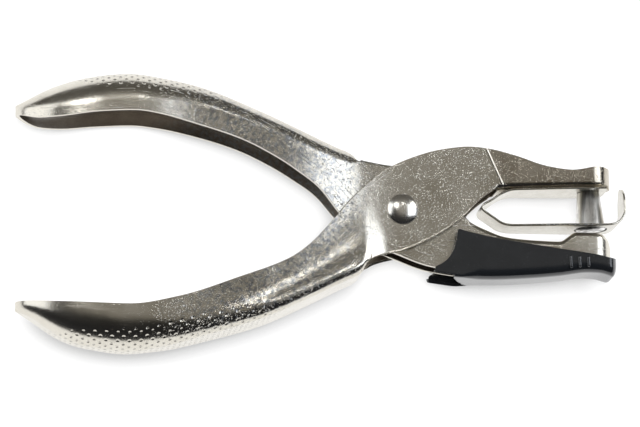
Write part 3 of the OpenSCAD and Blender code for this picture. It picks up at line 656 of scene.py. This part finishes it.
def turned_steel(name, colour, rough, axis_scale):
    """Bare steel with turning marks round its axis and a few dark spots."""
    m = Nodes(bpy.data.materials.new(name))
    m.set("Metallic", 1.0)
    rings = m.noise(m.at(axis_scale), 900, 3)
    spots = m.noise(m.at(), 500, 4)
    dark = tuple(0.45 * c for c in colour[:3]) + (1,)
    streaks = m.most(m.ramp(spots, 0.55, 0.85), m.ramp(rings, 0.45, 0.58))
    m.set("Base Color", m.mix(streaks, colour, dark))
    m.set("Roughness", m.ramp(rings, 0.3, 0.8, rough - 0.05, rough + 0.1))
    m.set("Normal", m.bump(rings, 0.000008, 0.8))
    return m.owner


def moulded(name, clean, dusty):
    """Glossy moulded plastic with a faint ripple, dust and rubbed patches."""
    m = Nodes(bpy.data.materials.new(name))
    obj = m.at()
    haze = m.noise(obj, 260, 5, 0.6)
    dust = m.noise(obj, 2600, 2)
    m.set("Base Color", m.mix(m.ramp(dust, 0.66, 0.8), clean, dusty))
    m.set("Roughness", m.ramp(haze, 0.3, 0.8, 0.14, 0.26))
    m.set("Coat Weight", 0.45)
    m.set("Coat Roughness", 0.1)
    m.set("IOR", 1.52)
    m.set("Specular IOR Level", 0.6)
    n = m.bump(m.noise(obj, 180, 2), 0.00006, 0.25)
    m.set("Normal", m.bump(dust, 0.000008, 0.3, n))
    return m.owner


NICKEL = (0.74, 0.71, 0.64, 1), (0.62, 0.585, 0.51, 1)
lower_nickel = plated("lower_handle_nickel", *NICKEL, 0.21, grip=((31, 13.2), (29, 8.5)),
                      sparkle=1.4, crease=True, palm=0.25)
upper_nickel = plated("upper_handle_nickel", *NICKEL, 0.21, grip=((30, 13), (20, 8)), scored=1.0)
# Inner faces of the sheets: rougher plating, painted darker for the shade inside the channels
inner_shaded_nickel = plated("inner_shaded_nickel", (0.42, 0.38, 0.33, 1), (0.26, 0.23, 0.2, 1), 0.34,
                      sparkle=0.6)
rivet_metal = plated("rivet_nickel", (0.93, 0.91, 0.86, 1), (0.82, 0.79, 0.72, 1), 0.2,
                     sparkle=0.4)
spring_metal = plated("spring_nickel", (0.7, 0.68, 0.62, 1), (0.5, 0.47, 0.4, 1), 0.24,
                      sparkle=0.5)
pin_metal = turned_steel("pin_steel", (0.97, 0.96, 0.93, 1), 0.36, (1, 0.03, 1))
plastic = moulded("moulded_black", (0.013, 0.015, 0.018, 1), (0.04, 0.042, 0.045, 1))


def dress(ob, mat, slot, *bodies, stands_for=()):
    """Gives a piece its material and body, and the CAD nodes that it stands for. slot is not used.
    """
    if mat:
        ob.data.materials.clear()
        ob.data.materials.append(mat)
    if stands_for:
        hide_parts(*stands_for)
    if len(bodies) == 1:
        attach(ob, bodies[0])
    return ob


# ---------------------------------------------------------------- levers
Z_AXIS = (0, 0, 1)
RIVET_BORE = 2.05
THROUGH = 8                                 # past both cheeks of a lever
DIE_CUT_FROM, DIE_CUT = 1, 4.2              # above the die face, and deep enough for the pin


def rivet_hole():
    return drum((0, 0, -THROUGH), Z_AXIS, RIVET_BORE, 2 * THROUGH)


die = lever("die_lever_sheet", DIE_FREE, DIE_LINE, DIE_HALF, DIE_BULGE, DIE_CORNER, DIE_NOSE,
            nose_round=3.6, web_end=-11, jaw_start=14.5, mats=(upper_nickel, inner_shaded_nickel))
cut(die, drum((DIE_X, DIE_FACE + DIE_CUT_FROM, 0), (0, -1, 0), DIE_R, DIE_CUT), rivet_hole())
dress(die, None, "nickel_plate", "die_lever", stands_for=["die_lever"])

punch = lever("punch_lever_sheet", PUNCH_FREE, PUNCH_LINE, PUNCH_HALF, PUNCH_BULGE, PUNCH_CORNER,
              PUNCH_NOSE, nose_round=4.2, web_end=-9.1, jaw_start=20.5,
              mats=(lower_nickel, inner_shaded_nickel))
cut(punch, rivet_hole())
dress(punch, None, "nickel_plate", "punch_lever", stands_for=["punch_lever"])

# ---------------------------------------------------------------- rivet and bush
AXIS_R = 0.001                              # radius of a lathed piece's ends at its axis
HEAD_R, HEAD_RISE, HEAD_EDGE = 3.3, 0.9, 0.16
HEAD_ROUND, HEAD_DROP, SHANK_R = 0.12, 0.14, 2.0
CLINCH_R, CLINCH_ROUND, CLINCH_H = 2.9, 0.25, 0.55
FAR = -PUNCH_NECK
dome = [(r, PUNCH_NECK + HEAD_EDGE + HEAD_RISE * (1 - (r / HEAD_R) ** 2.5))
        for r in np.linspace(AXIS_R, HEAD_R - HEAD_ROUND, 20)]
rim = [(HEAD_R - HEAD_ROUND + HEAD_ROUND * math.sin(a),
        PUNCH_NECK + HEAD_EDGE - HEAD_DROP * (1 - math.cos(a)))
       for a in np.linspace(0.3, math.pi / 2, 4)]
clinch = [(CLINCH_R - CLINCH_ROUND + CLINCH_ROUND * math.cos(a),
           FAR - CLINCH_H - CLINCH_ROUND * math.sin(a)) for a in np.linspace(0, math.pi / 2, 6)]
profile = dome + rim + [(HEAD_R, PUNCH_NECK + 0.01), (SHANK_R, PUNCH_NECK), (SHANK_R, FAR),
                        (CLINCH_R, FAR - 0.01)]
profile += clinch + [(1.5, FAR - 0.8), (1.35, FAR - 0.7), (1.2, FAR - 0.42), (AXIS_R, FAR - 0.4)]
rivet = lathe("rivet", profile[::-1], (0, 0, 0), Z_AXIS)
dress(rivet, rivet_metal, "rivet_steel", "punch_lever", stands_for=["pivot_rivet"])

BUSH_R, BUSH_HALF, BUSH_EDGE = 2.9, 2.15, 0.15
profile = [(RIVET_BORE, -BUSH_HALF), (BUSH_R - BUSH_EDGE, -BUSH_HALF),
           (BUSH_R, -BUSH_HALF + BUSH_EDGE), (BUSH_R, BUSH_HALF - BUSH_EDGE),
           (BUSH_R - BUSH_EDGE, BUSH_HALF), (RIVET_BORE, BUSH_HALF), (RIVET_BORE, -BUSH_HALF)]
bush = lathe("bush", profile, (0, 0, 0), Z_AXIS)
dress(bush, spring_metal, "rivet_steel", "die_lever", stands_for=["pivot_bush"])

# ---------------------------------------------------------------- opening spring
COIL_R, WIRE_R, TURNS = 3.55, 0.5, 3
PITCH = (2 * DIE_NECK - 2 * SHEET - PLAY - 2 * WIRE_R) / TURNS
LEG_X = -18.0
LEG_INSET = SHEET * 1.12 + 0.56 + 0.05      # of the wire's middle from the web's outer face


def leg_end(line, side):
    return np.array([LEG_X, float(curve(line, LEG_X)[0]) - side * LEG_INSET])


def tangent_angle(p, side):
    """Where on the coil a leg to p leaves it."""
    return math.atan2(p[1], p[0]) - side * math.acos(COIL_R / np.linalg.norm(p))


leg_a, leg_b = leg_end(DIE_LINE, 1), leg_end(PUNCH_LINE, -1)
a0, a1 = tangent_angle(leg_a, 1), tangent_angle(leg_b, -1) - 2 * math.pi * TURNS
top, low = PITCH * TURNS / 2, -PITCH * TURNS / 2
coil = [(COIL_R * math.cos(a0 + (a1 - a0) * s), COIL_R * math.sin(a0 + (a1 - a0) * s),
         top + (low - top) * s) for s in np.linspace(0, 1, 180)]
start, end = np.array(coil[0]), np.array(coil[-1])
shares = np.linspace(0, 1, 16)
path = [np.array([*leg_a, top]) * (1 - s) + start * s for s in shares[:-1]] + coil
path += [end * (1 - s) + np.array([*leg_b, low]) * s for s in shares[1:]]
spring = tube("opening_spring_wire", path, WIRE_R)
dress(spring, spring_metal, "spring_steel", stands_for=["opening_spring"])
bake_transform(spring)

# ---------------------------------------------------------------- pin
NECK_R, PEEN_R = 1.8, 2.6                   # through the jaw's web, and over it
lean = math.radians(LEAN)
pin_axis = (-math.sin(lean), math.cos(lean), 0)
shoulder = (jaw_y(PIN_X) - STRIP - PIN_Y) / math.cos(lean) - 0.06
seat = shoulder + (STRIP + SHEET) / math.cos(lean) + 0.12
profile = [(AXIS_R, 0.0), (3.05, 0), (PIN_R, 0.06), (PIN_R, 0.8), (3.13, 0.9),
           (2.4, shoulder - 0.05), (2.36, shoulder), (NECK_R, shoulder), (NECK_R, seat),
           (PEEN_R, seat), (PEEN_R, seat + 0.35), (2.45, seat + 0.6), (2.1, seat + 0.76),
           (1.5, seat + 0.8), (0.6, seat + 0.72), (AXIS_R, seat + 0.7)]
pin = lathe("pin", profile, (PIN_X, PIN_Y, 0), pin_axis, steps=96)
dress(pin, pin_metal, "tool_steel", "punch_lever", stands_for=["punch_pin"])

# ---------------------------------------------------------------- stripper
STRIP_COLS, STRIP_RIM, STRIP_RIM_STEPS = 13, 0.12, 4
# Half widths: along the blade, then up the tongue, whose end is round
BLADE_X, BLADE_HALF = [17, 22, 36, 44.3], [3.8, 3.8, 4.725, 4.725]
TONGUE_UP, TONGUE_HALF = [-2.7, -1.2, 2.1], [4.725, 4.1, 3.7]
TONGUE_ROUND = 3.72
blade_y = PIN_Y + STRIP / 2


def leg_y(x):
    """The middle of the strip's upper leg, against the jaw."""
    return jaw_y(x) - STRIP / 2 - 0.01


def strip_half(x, y):
    if x <= BLADE_X[-1]:
        return np.interp(x, BLADE_X, BLADE_HALF)
    if y <= TONGUE_UP[-1]:
        return np.interp(y, TONGUE_UP, TONGUE_HALF)
    return TONGUE_HALF[-1] * math.sqrt(max(0.002, 1 - ((y - TONGUE_UP[-1]) / TONGUE_ROUND) ** 2))


def strip_piece(name, path, steps, open_end):
    """A strip of sheet along a middle line, without a cap at its open end, 0 or -1."""
    path = np.array(path, float)
    seg = np.concatenate([[0], np.cumsum(np.linalg.norm(np.diff(path, axis=0), axis=1))])
    at = np.linspace(0, seg[-1], steps)
    mid = np.stack([np.interp(at, seg, path[:, 0]), np.interp(at, seg, path[:, 1])], 1)
    for _ in range(3):
        mid[1:-1] = (mid[:-2] + 2 * mid[1:-1] + mid[2:]) / 4
    t = np.gradient(mid, axis=0)
    t /= np.linalg.norm(t, axis=1, keepdims=True)
    n = np.stack([-t[:, 1], t[:, 0]], 1)
    grid, uv = [], []
    for k in range(steps):
        w = strip_half(*mid[k])
        x, y = mid[k] - n[k] * STRIP / 2
        across = [w * 2 * j / (STRIP_COLS - 1) for j in range(STRIP_COLS)]
        grid.append([(x, y, w * (1 - 2 * j / (STRIP_COLS - 1))) for j in range(STRIP_COLS)])
        uv.append([(at[k], a) for a in across])
    return strip_sheet(name, np.array(grid), n, np.array(uv), open_end)


def strip_sheet(name, grid, n, uv, open_end):
    """Closes the strip's outer side with its back and two round edges."""
    rows, cols = grid.shape[:2]
    back = grid + np.concatenate([n, np.zeros((rows, 1))], 1)[:, None, :] * STRIP
    verts, faces, uvs = [], [], []
    for i in range(rows):
        for side, order, edge, sign in ((grid, range(cols), -1, 1),
                                        (back, range(cols - 1, -1, -1), 0, -1)):
            for j in order:
                p = side[i, j].copy()
                if j in (0, cols - 1):
                    p[2] -= math.copysign(STRIP_RIM, p[2])
                verts.append(p)
                uvs.append(uv[i, j])
            outer, inner = grid[i, edge], back[i, edge]
            for s in range(1, STRIP_RIM_STEPS):
                a = math.pi * s / STRIP_RIM_STEPS
                c = (outer + inner) / 2 + sign * (outer - inner) / 2 * math.cos(a)
                c[2] += sign * STRIP_RIM * (1 - math.sin(a))
                verts.append(c)
                uvs.append(uv[i, edge])
    size = len(verts) // rows
    ring = [list(range(i * size, (i + 1) * size)) for i in range(rows)]
    for i in range(rows - 1):
        for j in range(size):
            k = (j + 1) % size
            faces.append([ring[i][j], ring[i + 1][j], ring[i + 1][k], ring[i][k]])
    faces.append(ring[0] if open_end == -1 else ring[-1][::-1])
    return mesh_object(name, [world(v) for v in verts], faces, uvs, sharp=50)


def fillet(points, radius, steps=6):
    """The same line with its inner corners rounded."""
    pts = [np.array(p, float) for p in points]
    out = [pts[0]]
    for a, b, c in zip(pts, pts[1:], pts[2:]):
        r = min(radius, np.linalg.norm(a - b) / 2.1, np.linalg.norm(c - b) / 2.1)
        p, q = b + (a - b) / np.linalg.norm(a - b) * r, b + (c - b) / np.linalg.norm(c - b) * r
        out += [(1 - s) ** 2 * p + 2 * s * (1 - s) * b + s * s * q
                for s in np.linspace(0, 1, steps)]
    return out + [pts[-1]]


def arc(middle, radius, angles):
    """Points on a circle, at angles in degrees."""
    return [middle + radius * np.array([math.cos(math.radians(a)), math.sin(math.radians(a))])
            for a in angles]


def pin_hole():
    """A cutter for the pin hole in the blade, along the pin and wider by HOLE_PLAY."""
    down = (math.sin(lean), -math.cos(lean), 0)
    return drum((PIN_X - HOLE_SHIFT, PIN_Y + 3, 0), down, PIN_R + HOLE_PLAY, 4)


HOLE_SHIFT, HOLE_PLAY = 0.12, 0.35
# The strip and its tongue meet at the seam: on the punch the strip bends and the tongue stays
# stiff, and here only the tongue goes with the stripper's body
SEAM = (43.2, blade_y + 0.09)
BEND, BEND_R = np.array([18.075, 0.75]), 0.95
CURL_R = 3.7
CURL = np.array([TONGUE_X - STRIP / 2 - CURL_R, blade_y + 0.15 + CURL_R])
leg_front = PUNCH_NOSE - 1
upper = fillet([(leg_front, leg_y(leg_front)), (23.3, leg_y(24)), (20.3, 3.3), (18.0, 1.0)], 1.2)
lower = fillet([(18.0, 0.4), (20.9, -2.55), (23, blade_y - 0.15), (36, blade_y), SEAM], 1.2)
path = upper[:-1] + arc(BEND, BEND_R, range(130, 231, 8)) + lower[1:]
strip = strip_piece("stripper_strip", path, 150, open_end=-1)
cut(strip, pin_hole())
dress(strip, spring_metal, "spring_steel", stands_for=["stripper_spring"])
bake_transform(strip)
path = [SEAM, (44.2, blade_y + 0.12)] + arc(CURL, CURL_R, range(-84, 1, 6))
path += [(TONGUE_X - STRIP / 2 - 0.06, TONGUE_Y - 1.4), (TONGUE_X - STRIP / 2 - 0.3, TONGUE_Y)]
tongue = strip_piece("stripper_tongue", path, 60, open_end=0)
cut(tongue, pin_hole())
dress(tongue, spring_metal, "spring_steel", "stripper", stands_for=["stripper_blade"])

# ---------------------------------------------------------------- chip receiver
REC_REAR, REC_STEP = 6.4, 13.2
REC_ROUND = 2.2                             # of its front corners
REC_TOP = [
    (REC_REAR, FLOOR_Y + 1.5), (6.55, -12.7), (7.9, -11.9), (9.2, -10.9), (10.5, -8.9),
    (11.2, -6.7), (11.55, -4.5), (11.9, -4.35), (13.2, -4.7), (20.6, -6.3), (33.5, -8.3),
    (42.1, -9.6), (44.8, -10.2), (REC_FRONT, -10.0)]
REC_BOTTOM = [
    (REC_REAR, -14.1), (7.2, -14.2), (9, -14.45), (12, FLOOR_Y + 0.1), (18.5, FLOOR_Y),
    (27, FLOOR_Y + 0.4), (33.5, FLOOR_Y + 1), (39.9, FLOOR_Y + 1.8), (42.2, FLOOR_Y + 1.7),
    (44.2, FLOOR_Y + 1.2), (45.2, FLOOR_Y + 0.9), (REC_FRONT, -12)]
xs = np.concatenate([np.linspace(REC_REAR, REC_STEP, 40)[:-1],
                     np.linspace(REC_STEP, REC_FRONT - REC_ROUND, 60)[:-1],
                     REC_FRONT - spread_tip(0, REC_ROUND, 14)[::-1]])
top_edge, floor_edge = eased(REC_TOP, xs, 0.12), eased(REC_BOTTOM, xs, 0.4)
half = np.full(len(xs), REC_HALF) * round_off(-xs, -REC_FRONT, REC_ROUND)
corner = REC_ROUND * np.clip((xs - 11) / 5, 0.3, 1)
corner = np.minimum(corner, np.minimum(0.9 * half, 0.55 * np.abs(top_edge - floor_edge)))


def rear_opening(x, above_floor, z):
    """The floor ends on a curve ahead of the receiver's sides."""
    return above_floor < (0.35 if z > 0 else 0.05) and x < 12.2 - 0.5 * z + 0.03 * z * z


receiver = channel("receiver_tray", xs, top_edge, floor_edge, half, 0 * half, corner,
                   np.full(len(xs), 90.0), np.zeros(len(xs) - 1, bool), (False, True),
                   (plastic, plastic), thick=REC_WALL, sides=12, corners=8, webs=5,
                   gap=rear_opening)
dress(receiver, None, "black_plastic", "chip_receiver", stands_for=["chip_receiver"])

RIB_W, RIB_H, RIB_SUNK = 0.8, 0.35, 0.2


def rounded_bar(name, a, b, z, around=8, along=13):
    """A moulded rib between two points on the receiver's side."""
    a, b = np.array(a, float), np.array(b, float)
    d = b - a
    d /= np.linalg.norm(d)
    n = np.array([-d[1], d[0]])
    verts = []
    for s in np.linspace(0, 1, along):
        k = math.sqrt(max(0.02, 1 - (2 * abs(s - 0.5)) ** 8))
        c = a + (b - a) * s
        for q in range(around + 1):
            t = math.pi * q / around
            verts.append(world((*(c + n * RIB_W / 2 * math.cos(t) * k),
                                z + math.copysign(RIB_H * math.sin(t) * k, z))))
        for sign in (-1, 1):
            verts.append(world((*(c + sign * n * RIB_W / 2 * k), z - math.copysign(RIB_SUNK, z))))
    size = len(verts) // along
    faces = [[i * size + j, (i + 1) * size + j, (i + 1) * size + (j + 1) % size,
              i * size + (j + 1) % size] for i in range(along - 1) for j in range(size)]
    faces += [list(range(size)), [(along - 1) * size + j for j in reversed(range(size))]]
    return mesh_object(name, verts, faces, sharp=50)


for side in (1, -1):
    for k, x in enumerate((35.7, 37.6, 39.5)):
        rib = rounded_bar("rib_%s_%d" % ("near" if side > 0 else "far", k + 1),
                          (x, -9.7 - 0.12 * k), (x + 0.1, -12.6 + 0.15 * k), side * REC_HALF)
        dress(rib, plastic, "black_plastic", "chip_receiver")

# ---------------------------------------------------------------- stage
# White paper under the punch, seen by the camera and in reflections; to the camera it darkens
# close to the punch by ambient occlusion, a painted contact shadow
FLOOR_HALF = 6
WHITE, PAPER_LEVEL = (1, 1, 1, 1), 0.95
floor_mesh = bpy.data.meshes.new("floor")
floor_mesh.from_pydata([(x * FLOOR_HALF, y * FLOOR_HALF, 0)
                        for x, y in ((-1, -1), (1, -1), (1, 1), (-1, 1))], [], [[0, 1, 2, 3]])
floor = bpy.data.objects.new("floor", floor_mesh)
bpy.context.scene.collection.objects.link(floor)
paper = Nodes(bpy.data.materials.new("floor_paper"))
paper.set("Base Color", (0.25, 0.25, 0.25, 1))
paper.set("Roughness", 0.9)
paper.set("Specular IOR Level", 0.0)
paper.set("Emission Color", WHITE)
rays = paper.node("LightPath").outputs
seen = paper.most(rays["Is Camera Ray"],
                  paper.most(rays["Is Glossy Ray"], rays["Is Transmission Ray"]))
close = paper.node("AmbientOcclusion", {"Distance": 0.006}, samples=8).outputs["AO"]
# Painted contact shadow: the emission seen by the camera drops where the ambient occlusion is low
painted_contact_shadow = paper.mul(rays["Is Camera Ray"], paper.ramp(close, 0.4, 0.85, 0.5, 0.0))
paper.set("Emission Strength", paper.mul(seen, paper.sub(PAPER_LEVEL, painted_contact_shadow)))
floor_mesh.materials.append(paper.owner)

# A dark studio with a light cap overhead and a fill from +Y, and white to the camera
CAP_AXIS = (0.10, 0.24, 0.966)
CAP_ENDS = [(0.03, 0.03, 0.032, 1), (0.24, 0.225, 0.196, 1)]
CAP_STOPS = [(0.4, (0.018, 0.018, 0.019, 1)), (0.8, (0.03, 0.029, 0.027, 1)),
             (0.9, (0.085, 0.08, 0.07, 1)), (0.96, (0.19, 0.178, 0.155, 1))]
FILL, FILL_RISE = (0.075, 0.07, 0.06, 1), (0.28, 0.65)
studio = Nodes(bpy.data.worlds.new("studio"))
bpy.context.scene.world = studio.owner
where = studio.coords.outputs["Generated"]
shade = studio.node("ValToRGB", {0: studio.dot(where, CAP_AXIS)})
stops = shade.color_ramp.elements
for k, c in enumerate(CAP_ENDS):
    stops[k].position, stops[k].color = k, c
for pos, c in CAP_STOPS:
    stops.new(pos).color = c
studio.set("Color", shade.outputs[0])
rise = studio.ramp(studio.split(where)[1], *FILL_RISE)
fill = studio.node("Background", {0: FILL, 1: rise})
both = studio.node("AddShader", {0: studio.surface.outputs[0], 1: fill.outputs[0]})
white = studio.node("Background", {0: WHITE, 1: PAPER_LEVEL})
to_camera = studio.node("LightPath").outputs["Is Camera Ray"]
either = studio.node("MixShader", {0: to_camera, 1: both.outputs[0], 2: white.outputs[0]})
output = next(n for n in studio.tree.nodes if n.type == "OUTPUT_WORLD")
studio.feed(output.inputs[0], either.outputs[0])


def area(name, where, size, power, colour=(1, 1, 1), aim=(0, 0, 0), mirrored=True):
    """A rectangular lamp at a place in metres, turned towards aim."""
    lamp = bpy.data.lights.new(name, "AREA")
    lamp.shape = "RECTANGLE"
    lamp.size, lamp.size_y = size
    lamp.energy = power
    lamp.color = colour
    ob = bpy.data.objects.new(name, lamp)
    ob.location = where
    ob.rotation_euler = (Vector(aim) - Vector(where)).to_track_quat("-Z", "Y").to_euler()
    ob.visible_glossy = mirrored
    bpy.context.scene.collection.objects.link(ob)


AT_PIN = (0.055, 0, 0)
area("overhead", (-0.03, -0.08, 0.95), (0.25, 0.25), 3.2, mirrored=False)
area("glint", (0.12, 0.42, 0.86), (0.05, 0.05), 0.12)
area("key", (0.76, 0.14, 0.85), (0.75, 0.75), 4.0, (0.93, 0.98, 1.06))
area("pin_left", (-0.28, 0.4, 0.84), (0.2, 0.3), 0.4, aim=AT_PIN)
area("pin_right", (0.78, 0.46, 0.6), (0.36, 0.4), 1.3, aim=AT_PIN)
area("rear", (-0.23, 0.45, 0.98), (0.16, 0.3), 0.35)
area("side", (-0.93, 0.3, 0.6), (0.9, 0.9), 3.6, (0.97, 0.985, 1))

# ---------------------------------------------------------------- camera
# Fitted to the photograph: focal length in its pixels, place in millimetres, and turn
FOCAL_PX, PHOTO_PX, SENSOR = 4200, 640, 36
CAMERA_AT = (-123.535, -196.106, 865.386)
CAMERA_TURN, CAMERA_AXIS = 14.44, (0.8789, -0.4771, 0)
cam = bpy.data.cameras.new("camera")
cam.sensor_width = SENSOR
cam.lens = FOCAL_PX / PHOTO_PX * SENSOR
cam.clip_start = 0.05
cam_ob = bpy.data.objects.new("camera", cam)
cam_turn = Matrix.Rotation(math.radians(CAMERA_TURN), 4, Vector(CAMERA_AXIS))
cam_ob.matrix_world = Matrix.Translation(Vector(world(CAMERA_AT))) @ cam_turn
bpy.context.scene.collection.objects.link(cam_ob)
bpy.context.scene.camera = cam_ob
bpy.context.scene.view_settings.view_transform = "Standard"
